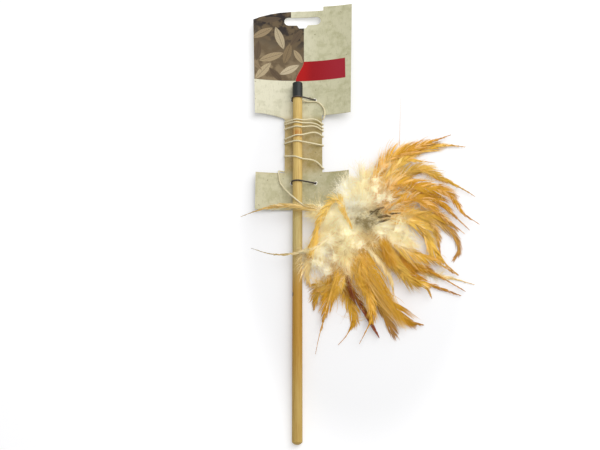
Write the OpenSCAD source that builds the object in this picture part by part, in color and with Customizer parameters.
// Cat teaser wand on its hang card: a wooden stick, wire-tied to a die-cut card,
// with an elastic cord wound round the card's neck and a feather lure at its end.
// The object lies on its back, handle end towards -Y, hang slot towards +Y.

/* [Wand] */
// Length of the wand, from the handle tip to the closed end of the cap
wand_len = 298.6; // [292:0.2:340]
// Diameter of the wooden stick
stick_d = 8; // [7:0.1:9]
// Height of the rounded handle tip
tip_round = 2; // [1:0.1:3]

/* [End cap] */
// Length of the sleeve over the stick's upper end
cap_len = 13.4; // [8:0.2:25]
// Wall of the sleeve
cap_wall = 0.3; // [0.2:0.05:0.6]
// Thickness of the sleeve's closed end
cap_end = 0.8; // [0.6:0.1:1.6]
// Rounding of the closed end's rim
cap_round = 0.5; // [0.2:0.05:0.7]
// How far the cord's groove runs out below the cap
groove_run = 3; // [2:0.5:6]

/* [Card] */
// Thickness of the board
card_t = 0.6; // [0.4:0.05:0.8]
// Distance from the handle tip to the card's lower edge
foot_y = 185.5; // [176:0.5:196]
// Width of the lower panel
foot_w = 77.4; // [60:0.2:80]
// Height of the lower panel
foot_h = 32.5; // [28:0.5:38]
// Width of the neck that the cord is wound on
neck_w = 31.6; // [31:0.2:38]
// Height of the neck
neck_h = 52; // [48:0.5:60]
// Width of the header at its upper corners
head_w = 87.2; // [80:0.2:100]
// Width of the header at its lower corners
head_base_w = 81.2; // [76:0.2:96]
// Height of the header
head_h = 102.6; // [90:0.2:120]
// Height of the raised tab at the header's upper right
tab_h = 2.9; // [1:0.1:8]
// Width of that tab
tab_w = 25; // [12:0.5:36]
// Distance of the card's middle line from the stick's axis
card_shift = 3.8; // [1:0.1:5]
// Distance of the header's middle line from the card's
head_shift = 0.5; // [0:0.1:2]
// Distance of the neck's middle line from the card's
neck_shift = 1.2; // [0:0.1:2]
// Radius to which the board has curled
curl_r = 140; // [130:1:300]
// Place of the curl's lowest line beside the stick's axis
curl_shift = -4; // [-6:0.5:2]

/* [Hang slot] */
// Length of the hang slot
slot_w = 32.5; // [28:0.5:36]
// Height of the hang slot
slot_h = 8; // [6:0.1:9]
// Depth of the dip in the slot's lower edge
slot_dip = 3; // [1:0.1:4]
// Width of the dip at its mouth
dip_w = 9.6; // [6:0.2:16]
// Distance of the slot's middle line from the header's top edge
slot_down = 10.8; // [8:0.2:16]

/* [Wire ties] */
// Diameter of the tie wire
tie_d = 1.3; // [1:0.1:1.5]
// Distance of the lower tie from the card's lower edge
tie_up = 23.1; // [18:0.1:26]
// Distance of the upper tie from the cap's open end
tie_down = 0.8; // [0.8:0.1:8]
// Distance from the stick's axis to the tie's far hole
tie_reach = 15; // [13:0.5:16]
// Radius of the wire's bends
tie_bend = 1.5; // [1:0.1:1.6]
// Length of wire folded flat behind the card at each end
tie_fold = 10; // [6:0.5:12]
// Sideways lean of the folded ends, so that they lie side by side
tie_lean = 1; // [1:0.1:1.6]

/* [Cord] */
// Diameter of the elastic cord
cord_d = 1.2; // [0.8:0.1:1.5]
// Distance of the first turn from the header, at the neck's right edge
wind_down = 3.6; // [2:0.1:8]
// Length of neck below the nominal last turn
wind_rest = 3.4; // [3:0.1:8]

/* [Lure] */
// Least clearance of the lure's low feathers from the stick
lure_side = 1.2; // [1:0.1:4]
// Distance of the lure's bead below the card's lower edge
lure_down = 10.5; // [10:0.5:16]
// Radius of the glue bead that holds the quills
bead_r = 5; // [4.6:0.1:5.6]
// Reach that the feathers' shares are measured in
lure_reach = 100; // [90:1:104]
// Width of the widest hackle
hackle_w = 8; // [6:0.2:9]
// Width of the widest down plume
down_w = 14; // [10:0.5:15]
// Thickness of a feather's blade
blade_t = 0.6; // [0.4:0.05:0.65]
// Height between the tips of two layers of feathers
tip_step = 1.1; // [1:0.05:1.3]
// Extra height of the arch from one layer to the next
arch_step = 0.7; // [0.5:0.05:0.9]
// Diameter of the knot at the cord's end
knot_d = 3.4; // [2.8:0.1:4]
// Thickness of the thread bound round the bead's neck
thread_t = 0.6; // [0.4:0.1:0.9]
// Length of the thread binding
thread_w = 3; // [2.4:0.2:3.6]

/* [Hidden] */
$fn = 48;
// overrun of every cut, and the gap between faces that lie on each other
over = 1;
seat_gap = 0.1;
cap_fit = 0.02;
hole_gap = 0.45;

stick_r = stick_d / 2;
cord_r = cord_d / 2;
tie_r = tie_d / 2;

// The card's back lies one folded wire above the ground; the curl lifts its sides.
card_lift = tie_d + seat_gap;
function back_z(x) =
    card_lift + curl_r - sqrt(curl_r * curl_r - (x - curl_shift) * (x - curl_shift));
function front_z(x) = back_z(x) + card_t;
cap_bore_r = stick_r + cap_fit;
cap_r = cap_bore_r + cap_wall;
axis_z = front_z(0) + seat_gap + cap_r;

neck_x = card_shift + neck_shift;
neck_y = foot_y + foot_h;
head_y = neck_y + neck_h;
card_top = head_y + head_h;
slot_y = card_top - slot_down;
cap_y = wand_len - cap_len;
tie_low_y = foot_y + tie_up;
tie_top_y = cap_y - tie_down;
wind_y = head_y - wind_down;
wind_h = neck_h - wind_down - wind_rest;
lure_y = foot_y - lure_down;

// The wand leans so that its handle tip and the lower tie touch the ground.
lean = atan((axis_z - stick_r) / (tie_low_y - tip_round));
drop = tie_low_y * tan(lean);

// Feathers: width as a share of the widest, layer, then the quill's points as shares
// of the reach, from the bead outwards. Rows run from the upper right round to the left.
hackle_shares = [
    [0.85, 3, [[0.18, 0.27], [0.32, 0.52], [0.53, 0.63], [0.7, 0.7], [0.87, 0.77]]],
    [0.85, 1, [[0.2, 0.25], [0.37, 0.52], [0.61, 0.64], [0.8, 0.68], [0.99, 0.67]]],
    [0.75, 4, [[0.2, 0.22], [0.42, 0.49], [0.56, 0.52], [0.72, 0.51]]],
    [1, 2, [[0.22, 0.19], [0.43, 0.39], [0.6, 0.45], [0.78, 0.37], [0.93, 0.29], [1.04, 0.22]]],
    [0.65, 0, [[0.23, 0.2], [0.44, 0.38], [0.6, 0.46], [0.71, 0.48]]],
    [1, 5, [[0.18, 0.14], [0.36, 0.3], [0.61, 0.28], [0.8, 0.23], [0.92, 0.06], [1.05, -0.03]]],
    [1, 3, [[0.22, 0.13], [0.44, 0.26], [0.59, 0.23], [0.73, 0.17], [0.85, 0.05], [0.97, -0.07]]],
    [1, 4, [[0.18, 0.04], [0.35, 0.09], [0.48, 0.18], [0.61, 0.15], [0.76, 0.03], [0.93, -0.11]]],
    [1, 2, [[0.18, 0.03], [0.35, 0.07], [0.54, 0.05], [0.67, 0.05], [0.81, -0.01], [0.88, -0.08]]],
    [1, 1, [[0.25, 0.03], [0.54, 0.05], [0.65, -0.01], [0.71, -0.14], [0.73, -0.35]]],
    [0.9, 0, [[0.28, 0.05], [0.58, 0.07], [0.73, 0.01], [0.83, -0.08], [0.88, -0.2], [0.84, -0.31]]],
    [1, 3, [[0.2, 0.01], [0.41, 0.02], [0.57, -0.06], [0.65, -0.21], [0.73, -0.33], [0.86, -0.45]]],
    [1, 4, [[0.14, -0.07], [0.28, -0.14], [0.46, -0.26], [0.65, -0.33], [0.85, -0.45]]],
    [1, 2, [[0.14, -0.09], [0.27, -0.18], [0.44, -0.34], [0.64, -0.42], [0.91, -0.58]]],
    [1, 1, [[0.13, -0.1], [0.26, -0.22], [0.41, -0.39], [0.58, -0.5], [0.87, -0.61]]],
    [0.5, 0, [[0.22, -0.18], [0.46, -0.37], [0.7, -0.45], [0.82, -0.47], [0.99, -0.52]]],
    [0.6, 5, [[0.17, -0.19], [0.34, -0.37], [0.45, -0.49], [0.57, -0.54], [0.63, -0.64]]],
    [1, 3, [[0.06, -0.17], [0.12, -0.34], [0.21, -0.58], [0.32, -0.7], [0.44, -0.82], [0.55, -0.85]]],
    [1, 1, [[0.05, -0.2], [0.1, -0.4], [0.18, -0.61], [0.26, -0.76], [0.33, -0.92]]],
    [0.85, 2, [[-0.02, -0.23], [-0.05, -0.47], [0.01, -0.6], [0.12, -0.76], [0.21, -0.94]]],
    [0.7, 5, [[0.05, -0.23], [0.1, -0.47], [0.14, -0.66], [0.15, -0.79], [0.11, -0.89], [0.05, -1]]],
    [0.7, 0, [[-0.01, -0.27], [-0.04, -0.54], [0, -0.7], [0.01, -0.81], [-0.04, -0.92], [-0.11, -1]]],
    [1, 3, [[-0.04, -0.19], [-0.09, -0.39], [-0.16, -0.57], [-0.21, -0.74], [-0.24, -0.89]]],
    [0.7, 1, [[-0.08, -0.24], [-0.16, -0.49], [-0.24, -0.54], [-0.28, -0.64], [-0.3, -0.72]]],
    [0.6, 4, [[-0.01, -0.19], [-0.03, -0.39], [-0.11, -0.55], [-0.18, -0.61], [-0.3, -0.57]]],
    [0.5, 5, [[-0.06, -0.23], [-0.13, -0.47], [-0.21, -0.76], [-0.26, -0.94], [-0.29, -1.08]]],
    [0.6, 4, [[0.08, -0.12], [0.17, -0.26], [0.27, -0.4], [0.32, -0.52], [0.33, -0.62]]],
    [0.7, 2, [[-0.14, -0.1], [-0.28, -0.22], [-0.34, -0.34], [-0.35, -0.44], [-0.33, -0.54]]]
];
// The feathers that pass over the card or the stick, and the height of their tips above
// the card's lower right corner and of their arches, as shares of the reach
over_shares = [
    [0.6, 7, [[-0.05, 0.08], [-0.11, 0.155], [-0.19, 0.065], [-0.26, -0.09], [-0.32, -0.28]]],
    [0.6, 8, [[-0.15, -0.14], [-0.3, -0.25], [-0.47, -0.3], [-0.64, -0.3], [-0.8, -0.25]]],
    [0.6, 8, [[-0.18, 0.05], [-0.36, 0.08], [-0.54, 0.09], [-0.71, 0.07], [-0.89, 0.01]]]
];
over_tip_shares = [-0.025, 0.034, 0.034];
over_arch_shares = [0.11, 0.03, 0.055];
// The down plumes, with the same heights
down_shares = [
    [1, 6, [[-0.01, 0.12], [-0.03, 0.28]]],
    [1, 7, [[0.06, 0.16], [0.1, 0.33]]],
    [1, 6, [[-0.03, -0.14], [-0.06, -0.32]]],
    [1, 6, [[0.22, -0.06], [0.46, -0.16]]],
    [1, 7, [[-0.12, 0.01], [-0.27, 0.03]]],
    [0.7, 6, [[0.15, 0.05], [0.33, 0.08]]],
    [0.9, 6, [[-0.14, -0.12], [-0.28, -0.28]]]
];
down_tip_shares = [0.032, 0.045, 0.015, 0.015, 0.013, 0.015, -0.04];
down_arch_shares = [0.021, 0.039, 0.03, 0.03, 0.014, 0.03, 0.012];
// Width of a blade along its quill
blade_shares = [0.16, 0.3, 0.52, 0.8, 1, 0.95, 0.75, 0.45, 0.1];
plume_shares = [0.14, 0.4, 0.75, 0.95, 1, 0.95, 0.8, 0.55, 0.2];
// Height between the butts of two layers of feathers, of the bead's middle, of the lowest
// butts and tips, and of the card's lower right corner
butt_step = bead_r / 5;
bead_z = bead_r + 0.6 * butt_step;
butt_z = 1.5 * butt_step;
tip_z = 0.6 * tip_step;
rim_z = front_z(card_shift + foot_w / 2) - drop + foot_y * tan(lean);

// The bead lies so far from the stick that its low feathers pass it.
near_x = max([for (f = hackle_shares) for (p = f[2]) f[0] * hackle_w / 2 - p[0] * lure_reach]);
lure_x = stick_r + lure_side + near_x;
all_x = [for (t = [hackle_shares, over_shares]) for (f = t) for (p = f[2]) p[0]];
middle_x = lure_x + lure_reach * (max(all_x) + min(all_x)) / 2;
middle_y = (card_top + tab_h) / 2;

// Curves and tubes

function spline(p, s) =
    let (m = len(p) - 1,
         i = min(floor(s * m), m - 1),
         t = s * m - i,
         a = p[max(i - 1, 0)],
         b = p[i],
         c = p[i + 1],
         d = p[min(i + 2, m)])
    (2 * b + (c - a) * t + (2 * a - 5 * b + 4 * c - d) * t * t
        + (3 * b - a - 3 * c + d) * t * t * t) / 2;

function unit(v) = v / norm(v);

// direction of the path at each of its points
function heading(p, k) =
    unit(p[min(k + 1, len(p) - 1)] - p[max(k - 1, 0)]);

// sideways vectors, each turned as little as possible from the one before it
function sideways(p, k = 0, last = undef) =
    k >= len(p) ? [] :
    let (d = heading(p, k),
         w = last == undef ? (abs(d.z) < 0.9 ? [0, 0, 1] : [1, 0, 0]) : last,
         v = unit(w - (w * d) * d))
    concat([v], sideways(p, k + 1, v));

module tube(p, r, sides) {
    v = sideways(p);
    n = len(p);
    ring_points = [for (k = [0:n - 1])
        let (d = heading(p, k), u = cross(d, v[k]))
        for (j = [0:sides - 1])
            p[k] + r * (cos(360 * j / sides) * v[k] + sin(360 * j / sides) * u)];
    walls = [for (k = [0:n - 2]) for (j = [0:sides - 1])
        let (a = k * sides + j, b = k * sides + (j + 1) % sides)
        each [[a, a + sides, b], [b, a + sides, b + sides]]];
    start = [for (j = [1:sides - 2]) [0, j, j + 1]];
    far = (n - 1) * sides;
    end = [for (j = [1:sides - 2]) [far, far + j + 1, far + j]];
    polyhedron(ring_points, concat(walls, start, end), convexity = 10);
}

// a flat blade of lens section, laid along a path
module blade(p, w, widths) {
    n = len(p);
    ring_points = [for (k = [0:n - 1])
        let (d = heading(p, k),
             u = unit([-d.y, d.x, 0]),
             h = w * widths[k] / 2)
        each [p[k] + h * u, p[k] + [0, 0, blade_t / 2], p[k] - h * u, p[k] - [0, 0, blade_t / 2]]];
    walls = [for (k = [0:n - 2]) for (j = [0:3])
        let (a = 4 * k + j, b = 4 * k + (j + 1) % 4)
        each [[a, a + 4, b], [b, a + 4, b + 4]]];
    far = 4 * (n - 1);
    polyhedron(ring_points, concat(walls, [[0, 1, 2], [0, 2, 3]],
        [[far, far + 2, far + 1], [far, far + 3, far + 2]]), convexity = 10);
}

// Placing

module placed() {
    translate([-middle_x, -middle_y, 0])
        children();
}

module leaning() {
    placed()
        rotate([lean, 0, 0])
        translate([0, 0, -drop])
        children();
}

// along the stick's axis, from a distance above the handle tip
module on_axis(y) {
    translate([0, y, axis_z])
        rotate([-90, 0, 0])
        children();
}

// Wand

stick_top = wand_len - cap_end - seat_gap;
groove_x = stick_r - cord_r - seat_gap;

module stick() {
    dome_r = (stick_r * stick_r + tip_round * tip_round) / (2 * tip_round);
    color("#D9B26A")
        leaning()
        difference() {
            union() {
                on_axis(tip_round)
                    cylinder(h = stick_top - tip_round, r = stick_r);
                intersection() {
                    on_axis(dome_r)
                        sphere(r = dome_r);
                    on_axis(0)
                        cylinder(h = tip_round, r = stick_r);
                }
            }
            translate([groove_x - cord_r, cap_y - groove_run, axis_z - cord_r - seat_gap])
                cube([stick_d, wand_len, cord_d + 2 * seat_gap]);
            // room for the knot in the end of the stick, and its way to the groove
            on_axis(stick_top - knot_d / 2)
                cylinder(h = stick_d, r = knot_d / 2 + seat_gap);
            translate([0, stick_top - 3 * knot_d / 4, axis_z - cord_r - seat_gap])
                cube([stick_d, stick_d, cord_d + 2 * seat_gap]);
        }
}

module end_cap() {
    color("#32363C")
        leaning()
        difference() {
            union() {
                on_axis(cap_y)
                    cylinder(h = cap_len - cap_round, r = cap_r);
                on_axis(wand_len - cap_round)
                    cylinder(h = cap_round, r = cap_r - cap_round);
                on_axis(wand_len - cap_round)
                    rotate_extrude()
                    translate([cap_r - cap_round, 0])
                    circle(r = cap_round);
            }
            on_axis(cap_y - over)
                cylinder(h = cap_len - cap_end + over, r = cap_bore_r);
        }
}

// the cord's end: a knot in the stick's end, and a stretch in the groove
module cord_anchor() {
    knot_y = stick_top - knot_d / 4;
    knot_r = knot_d / 4;
    out_share = 0.6;
    bend_share = 0.92;
    color("#E6DDB8")
        leaning() {
            on_axis(knot_y)
                sphere(r = knot_r, $fn = 12);
            tube([[0, knot_y, axis_z],
                  [out_share * groove_x, knot_y, axis_z],
                  [bend_share * groove_x, knot_y - cord_r, axis_z],
                  [groove_x, knot_y - 3 * cord_r, axis_z],
                  [groove_x, (cap_y + knot_y) / 2, axis_z],
                  [groove_x, cap_y, axis_z]], cord_r, 8);
        }
}

// Card

module slot_outline() {
    end_r = slot_h / 2;
    floor_share = 0.64;
    for (side = [-1, 1])
        translate([side * (slot_w / 2 - end_r), 0])
            circle(r = end_r);
    translate([end_r - slot_w / 2, -end_r])
        square([slot_w - slot_h, slot_h]);
    polygon([
        [-dip_w / 2, -end_r],
        [dip_w / 2, -end_r],
        [floor_share * dip_w / 2, -end_r - slot_dip],
        [-floor_share * dip_w / 2, -end_r - slot_dip]
    ]);
}

// the top edge falls a little to the right: the tab's outer corner and the foot of its step,
// as shares of the header's height
fall_shares = [0.019, 0.011];
// the header's top left corner, from the top edge down to the side, as shares of its half
// width and of its height, and the same for its lower left corner
crown_shares = [[-0.1, 0.005], [-0.24, 0.009], [-0.46, 0.02], [-0.66, 0.042], [-0.86, 0.076], [-1, 0.11]];
chin_shares = [[-1, -0.016], [-0.82, -0.016], [-0.62, -0.004], [-0.42, 0.018]];
chin_end_share = 0.034;

module card_outline() {
    w = head_w / 2;
    b = head_base_w / 2;
    n = neck_w / 2;
    f = foot_w / 2;
    s = head_shift;
    polygon(concat(
        [[-f, foot_y],
         [f, foot_y],
         [f, neck_y],
         [neck_shift + n, neck_y],
         [neck_shift + n, head_y],
         [s + b, head_y],
         [s + w, card_top + tab_h - fall_shares[0] * head_h],
         [s + w - tab_w, card_top + tab_h],
         [s + w - tab_w, card_top - fall_shares[1] * head_h]],
        [for (q = crown_shares) [s + q.x * w, card_top - q.y * head_h]],
        [for (q = chin_shares) [s + q.x * b, head_y - q.y * head_h]],
        [[neck_shift - n, head_y - chin_end_share * head_h],
         [neck_shift - n, neck_y],
         [-f, neck_y]]));
}

module card() {
    bend_z = card_lift + curl_r;
    color("#C3BE9C")
        leaning()
        intersection() {
            difference() {
                linear_extrude(height = curl_r)
                    difference() {
                        translate([card_shift, 0])
                            card_outline();
                        translate([card_shift + head_shift, slot_y])
                            slot_outline();
                        for (y = [tie_low_y, tie_top_y])
                            tie_holes(y);
                    }
                translate([curl_shift, 0, bend_z])
                    rotate([-90, 0, 0])
                    cylinder(h = 2 * card_top, r = curl_r - card_t, $fn = 720);
            }
            translate([curl_shift, 0, bend_z])
                rotate([-90, 0, 0])
                cylinder(h = 2 * card_top, r = curl_r, $fn = 720);
        }
}

// Wire ties: over the stick, down through two holes, ends folded flat behind the card

tie_turn = stick_r + seat_gap + tie_r;

module tie_holes(y) {
    for (x = [-tie_turn, tie_reach])
        translate([x, y])
            circle(r = tie_r + hole_gap);
}

function corner(centre, r, y, from, to, steps) =
    [for (k = [0:steps])
        let (a = from + (to - from) * k / steps)
        [centre.x + r * cos(a), y, centre.y + r * sin(a)]];

module tie(y) {
    // the slanting run down to the far hole touches the turn over the stick and the bend there
    bend_r = min(tie_bend, front_z(tie_reach) / 2);
    over_bend = [tie_reach - bend_r, front_z(tie_reach) + tie_r - bend_r];
    span = [over_bend.x, over_bend.y - axis_z];
    tilt = atan2(span.y, span.x) + acos((tie_turn - bend_r) / norm(span));
    left_bend = [-tie_turn + bend_r, tie_r + bend_r];
    right_bend = [tie_reach - bend_r, tie_r + bend_r];
    fold_share = 0.6;
    path = concat(
        [[left_bend.x + tie_fold, y + tie_lean, tie_r],
         [left_bend.x + tie_fold / 2, y + fold_share * tie_lean, tie_r]],
        corner(left_bend, bend_r, y, -90, -180, 4),
        corner([0, axis_z], tie_turn, y, 180, tilt, 8),
        corner(over_bend, bend_r, y, tilt, 0, 4),
        corner(right_bend, bend_r, y, 0, -90, 4),
        [[right_bend.x - tie_fold / 2, y - fold_share * tie_lean, tie_r],
         [right_bend.x - tie_fold, y - tie_lean, tie_r]]);
    tube(path, tie_r, 8);
}

module tie_upper() {
    color("#2E2620")
        leaning()
        tie(tie_top_y);
}

module tie_lower() {
    color("#2E2620")
        leaning()
        tie(tie_low_y);
}

// Cord: from the cap to the neck, six turns round neck and stick, then down to the lure

turn_gap = 0.15;
edge_r = card_t / 2 + cord_r + turn_gap;
wrap_r = stick_r + cord_r + turn_gap;
left_x = neck_x - neck_w / 2;
right_x = neck_x + neck_w / 2;
left_hub = [left_x, back_z(left_x) + card_t / 2];
right_hub = [right_x, back_z(right_x) + card_t / 2];

// where each turn crosses the neck's right and left edge, as shares of the wound length
right_shares = [0, 0.114, 0.19, 0.25, 0.36, 0.543, 1];
left_shares = [0.06, 0.102, 0.2, 0.407, 0.49, 0.742, 1.05];
// how far each turn bows towards the header between the stick and the right edge
bow_shares = [0.065, 0.05, 0.06, 0.065, 0, 0.075];

function tangent(a, ra, b, rb) =
    atan2(b.y - a.y, b.x - a.x) + acos((ra - rb) / norm(b - a));

rise = tangent(left_hub, edge_r, [0, axis_z], wrap_r);
fall = tangent([0, axis_z], wrap_r, right_hub, edge_r);
back_steps = 6;

// the back of a turn follows the board's curl; each point is [x, z]
function back_run(last) =
    [for (k = [1:back_steps - 1])
        let (x = right_x + (last - right_x) * k / back_steps)
        [x, back_z(x) - cord_r - turn_gap]];

function arc(hub, r, from, to, steps) =
    [for (k = [0:steps])
        let (a = from + (to - from) * k / steps)
        hub + r * [cos(a), sin(a)]];

// round the left edge, over the stick, straight down to the right edge and half round it
drop_steps = 6;
drop_from = [0, axis_z] + wrap_r * [cos(fall), sin(fall)];
drop_to = right_hub + edge_r * [cos(fall), sin(fall)];
front_lap = concat(
    arc(left_hub, edge_r, 270, rise + (rise < 0 ? 360 : 0), 4),
    arc([0, axis_z], wrap_r, rise, fall, 5),
    [for (k = [1:drop_steps - 1]) drop_from + (drop_to - drop_from) * k / drop_steps],
    arc(right_hub, edge_r, fall, 0, 2));
under_lap = arc(right_hub, edge_r, 0, -90, 2);

function lap_y(x, from, to) =
    let (s = min(max((x - left_x) / (right_x - left_x), 0), 1))
    wind_y - wind_h * (from + (to - from) * s);

// a turn's points at their heights; the bow is greatest two thirds of the way to the edge
function lay(points, at_left, at_right, bow = 0) =
    [for (q = points)
        let (u = min(max((q.x - drop_from.x) / (drop_to.x - drop_from.x), 0), 1))
        [q.x, lap_y(q.x, at_left, at_right) + bow * wind_h * sin(180 * pow(u, 1.6)), q.y]];

laps = len(right_shares) - 1;
winding = concat(
    [for (k = [0:laps - 1]) each concat(
        lay(under_lap, left_shares[k], right_shares[k]),
        lay(back_run(left_x), left_shares[k], right_shares[k]),
        lay(front_lap, left_shares[k], right_shares[k + 1], bow_shares[k]))],
    lay(under_lap, left_shares[laps], right_shares[laps]),
    lay(back_run(left_x), left_shares[laps], right_shares[laps]));

// drops points that repeat the one before them
function cleaned(p) =
    [for (k = [0:len(p) - 1]) if (k == 0 || norm(p[k] - p[k - 1]) > cord_d / 100) p[k]];

wound = cleaned(winding);

// least gap between stretches of the winding that lie more than a turn of path apart
function near_gap(p, skip) =
    min([for (i = [0:len(p) - 1 - skip]) for (j = [i + skip:len(p) - 1]) norm(p[i] - p[j])]);

echo(least_gap_of_winding = near_gap(wound, 10) - cord_d, rings = len(wound));

lead_route = [
    [3.3, 285.2, 6.5], [3.3, 284.6, 6.5], [4.2, 283.2, 6.5], [6.4, 282.6, 5.7], [9, 282.7, 4.2],
    [12, 282.8, 3.7], [14.6, 282.8, 4], [17.2, 281.9, 4.4], [19.4, 280.2, 4.8],
    [21.2, 277.9, 5.1], [22.5, 275.3, 5.4], [23.1, 272.8, 5.6], [23.2, 270.6, 5.6],
    [22.9, 268.4, 5.1], [22.05, 266.6, 4.35]
];

// The tail's points were drawn to a bead at this place. Its loose half follows the bead.
tail_to = [43, 175, 5.6];
tail_free_x = 9.4;
tail_points = [
    [-5.7, 219.3, 0.7], [-9, 219.5, 0.8], [-12, 219.8, 1], [-14.4, 219.9, 1.6], [-15.6, 219.5, 2.8],
    [-15.8, 218, 3.7], [-15.6, 216, 3.6], [-15.2, 213, 3.4], [-14.8, 210.3, 3.3],
    [-13.8, 207.6, 3.4], [-12, 204.9, 4.2], [-9.3, 201.3, 6], [-6.1, 197.2, 8.5],
    [-3.3, 194, 10.9], [-0.4, 191.1, 11.5], [2.4, 188.9, 11.3], [5, 187, 10.2],
    [7.2, 185.1, 8.6], [9.4, 183.2, 6.9], [12.4, 181.3, 5.6], [16.5, 179.6, 4.9],
    [21.5, 178, 4.6], [27, 176.2, 5.2], [30, 175.2, 5.8], [32.1, 175, 6]
];
tail_end_x = tail_points[len(tail_points) - 1].x;
tail_route = [for (q = tail_points)
    let (s = max(q.x - tail_free_x, 0) / (tail_end_x - tail_free_x))
    q + ([lure_x, lure_y, bead_z] - tail_to) * s];

module cord_lead() {
    color("#E6DDB8")
        leaning()
        tube(lead_route, cord_r, 8);
}

module cord_winding() {
    color("#E6DDB8")
        leaning()
        tube(wound, cord_r, 6);
}

module cord_tail() {
    color("#E6DDB8")
        leaning()
        tube(tail_route, cord_r, 8);
}

// Lure

// along the bead's own axis, which lies across the object
module on_bead(x) {
    placed()
        translate([lure_x + x, lure_y, bead_z])
        rotate([0, 90, 0])
        children();
}

neck_len = thread_w + thread_t;

module lure_bead() {
    color("#D8C79A")
        on_bead(0)
        sphere(r = bead_r);
}

// the glued quill stubs between the bead and the knot
module lure_neck() {
    neck_r = bead_r / 2 - thread_t;
    color("#D8C79A")
        difference() {
            on_bead(-bead_r - neck_len + thread_t)
                cylinder(h = bead_r + neck_len - thread_t, r = neck_r);
            on_bead(0)
                sphere(r = bead_r);
        }
}

module lure_thread() {
    neck_r = bead_r / 2 - thread_t;
    start = -sqrt(bead_r * bead_r - bead_r * bead_r / 4) - thread_w;
    color("#B98A3C")
        difference() {
            on_bead(start)
                cylinder(h = thread_w, r = bead_r / 2);
            on_bead(start - over)
                cylinder(h = thread_w + 2 * over, r = neck_r);
            on_bead(0)
                sphere(r = bead_r);
        }
}

module lure_knot() {
    color("#E6DDB8")
        on_bead(-bead_r - neck_len + thread_t - knot_d / 2)
        sphere(r = knot_d / 2);
}

// one feather: its butt touches the bead at its layer's height and its quill arches out
module feather(share, widest, tip, arch, widths) {
    butt = butt_z + share[1] * butt_step;
    up = butt - bead_z;
    start_r = sqrt(bead_r * bead_r - up * up) + seat_gap + blade_t / 2;
    aim = unit(share[2][0]);
    points = concat([aim * start_r], [for (q = share[2]) q * lure_reach]);
    last = len(widths) - 1;
    path = [for (k = [0:last])
        let (s = k / last, q = spline(points, s))
        [lure_x + q.x, lure_y + q.y, butt * (1 - s) + tip * s + 4 * arch * s * (1 - s)]];
    placed()
        blade(path, widest * share[0], widths);
}

module hackle(k) {
    share = hackle_shares[k - 1];
    feather(share, hackle_w, tip_z + share[1] * tip_step, share[1] * arch_step, blade_shares);
}

module over_hackle(k) {
    tip = rim_z + over_tip_shares[k - 1] * lure_reach;
    feather(over_shares[k - 1], hackle_w, tip, over_arch_shares[k - 1] * lure_reach, blade_shares);
}

module down(k) {
    tip = rim_z + down_tip_shares[k - 1] * lure_reach;
    feather(down_shares[k - 1], down_w, tip, down_arch_shares[k - 1] * lure_reach, plume_shares);
}

module hackle_01() { color("#D9982E") hackle(1); }
module hackle_02() { color("#D08F2C") hackle(2); }
module hackle_03() { color("#D9982E") hackle(3); }
module hackle_04() { color("#E0A844") hackle(4); }
module hackle_05() { color("#D9982E") hackle(5); }
module hackle_06() { color("#D48A22") hackle(6); }
module hackle_07() { color("#C9781C") hackle(7); }
module hackle_08() { color("#CF8A34") hackle(8); }
module hackle_09() { color("#D9982E") hackle(9); }
module hackle_10() { color("#D8A86C") hackle(10); }
module hackle_11() { color("#CF9A5C") hackle(11); }
module hackle_12() { color("#D9A648") hackle(12); }
module hackle_13() { color("#E0B868") hackle(13); }
module hackle_14() { color("#DCA440") hackle(14); }
module hackle_15() { color("#D08F2C") hackle(15); }
module hackle_16() { color("#DCC39A") hackle(16); }
module hackle_17() { color("#DCA440") hackle(17); }
module hackle_18() { color("#D9982E") hackle(18); }
module hackle_19() { color("#C99350") hackle(19); }
module hackle_20() { color("#7A3A1C") hackle(20); }
module hackle_21() { color("#DCA440") hackle(21); }
module hackle_22() { color("#D9982E") hackle(22); }
module hackle_23() { color("#E09A24") hackle(23); }
module hackle_24() { color("#E0A844") hackle(24); }
module hackle_25() { color("#E0A844") hackle(25); }
module hackle_26() { color("#E8D8B0") hackle(26); }
module hackle_27() { color("#E8D8B0") hackle(27); }
module hackle_28() { color("#EFE6D2") hackle(28); }
module hackle_29() { color("#E0A844") over_hackle(1); }
module hackle_30() { color("#E6CF98") over_hackle(2); }
module hackle_31() { color("#D8A86C") over_hackle(3); }
module down_01() { color("#F6F0DC") down(1); }
module down_02() { color("#F6F0DC") down(2); }
module down_03() { color("#F4EAC8") down(3); }
module down_04() { color("#F4EAC8") down(4); }
module down_05() { color("#CFC59C") down(5); }
module down_06() { color("#A89A6C") down(6); }
module down_07() { color("#EFE3BE") down(7); }

stick();
end_cap();
cord_anchor();
cord_lead();
cord_winding();
cord_tail();
card();
tie_upper();
tie_lower();
lure_knot();
lure_neck();
lure_thread();
lure_bead();
hackle_01();
hackle_02();
hackle_03();
hackle_04();
hackle_05();
hackle_06();
hackle_07();
hackle_08();
hackle_09();
hackle_10();
hackle_11();
hackle_12();
hackle_13();
hackle_14();
hackle_15();
hackle_16();
hackle_17();
hackle_18();
hackle_19();
hackle_20();
hackle_21();
hackle_22();
hackle_23();
hackle_24();
hackle_25();
hackle_26();
hackle_27();
hackle_28();
hackle_29();
hackle_30();
hackle_31();
down_01();
down_02();
down_03();
down_04();
down_05();
down_06();
down_07();
